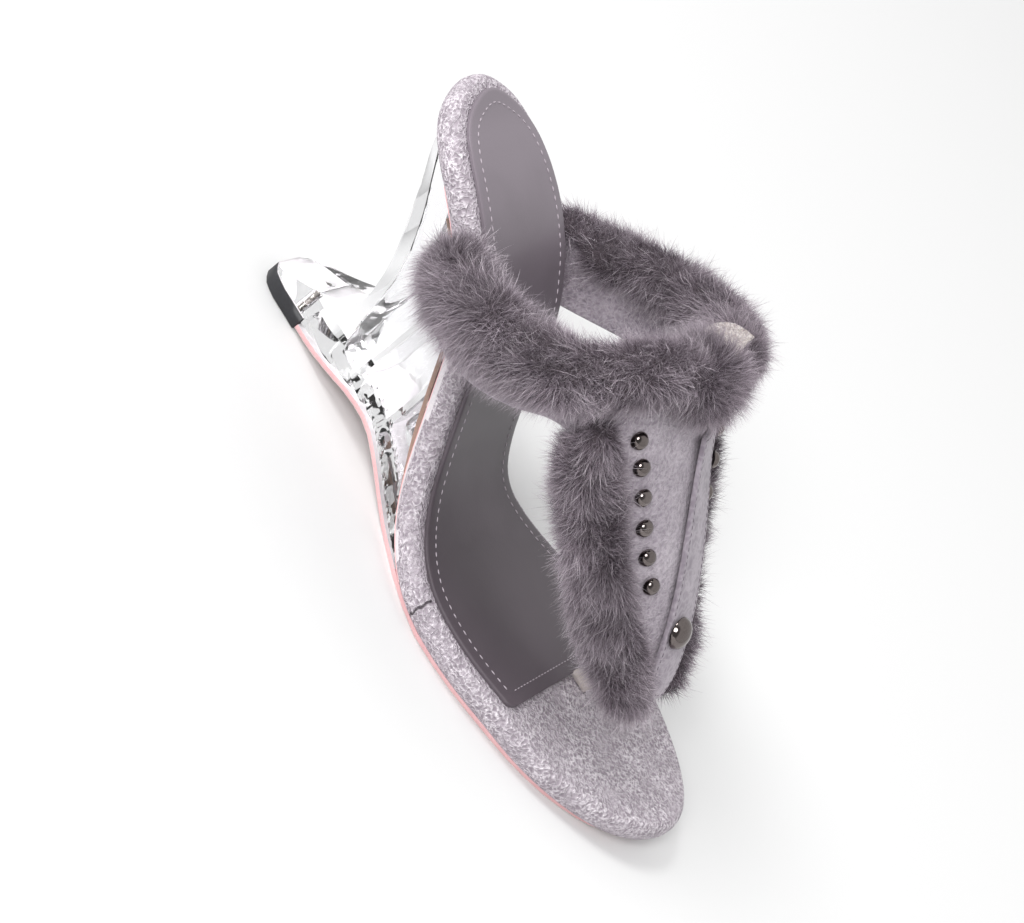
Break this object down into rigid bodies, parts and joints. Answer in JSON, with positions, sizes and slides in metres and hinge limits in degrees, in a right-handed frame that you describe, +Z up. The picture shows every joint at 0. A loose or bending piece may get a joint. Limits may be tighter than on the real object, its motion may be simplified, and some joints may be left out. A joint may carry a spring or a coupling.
{
  "type": "high heel shoe",
  "caption": "Right high-heeled thong mule: covered footbed, suede vamp edged with shearling, domed studs, strap and keeper tab, on a clear hollow wedge heel with a black tip.",
  "frame": {"origin": "middle of the shoe's own box, on the floor under the sole", "axes": "+Z up, toe towards -Y, heel towards +Y, little-toe side towards -X"},
  "size_m": [0.1188, 0.2252, 0.1216],
  "materials": {
    "crackle_fabric": "coated fabric with a fine silvery crackle, satin",
    "insole_leather": "smooth matt leather",
    "grey_suede": "suede",
    "strap_leather": "nubuck with stitched edges",
    "beige_leather": "matt leather",
    "shearling": "long-haired shearling, dark at the roots",
    "pink_rubber": "matt",
    "black_rubber": "matt",
    "clear_plastic": "clear moulded plastic, polished",
    "gunmetal": "polished dark gunmetal plate",
    "heel_steel": "plain steel"
  },
  "bodies": {
    "root": {"centre_strap": "strap_leather", "clear_heel": "clear_plastic", "footbed": "crackle_fabric", "fur_collar": "shearling", "fur_trim_lateral": "shearling", "fur_trim_medial": "shearling", "heel_pin": "heel_steel", "heel_screw": "heel_steel", "heel_tip": "black_rubber", "insole": "insole_leather", "keeper_tab": "crackle_fabric", "outsole": "pink_rubber", "stud_large": "gunmetal", "stud_lateral_1": "gunmetal", "stud_lateral_2": "gunmetal", "stud_lateral_3": "gunmetal", "stud_lateral_4": "gunmetal", "stud_lateral_5": "gunmetal", "stud_lateral_6": "gunmetal", "stud_medial_1": "gunmetal", "stud_medial_2": "gunmetal", "stud_medial_3": "gunmetal", "stud_medial_4": "gunmetal", "stud_medial_5": "gunmetal", "stud_medial_6": "gunmetal", "toe_post": "beige_leather", "upper": "grey_suede"}
  },
  "joints": []
}
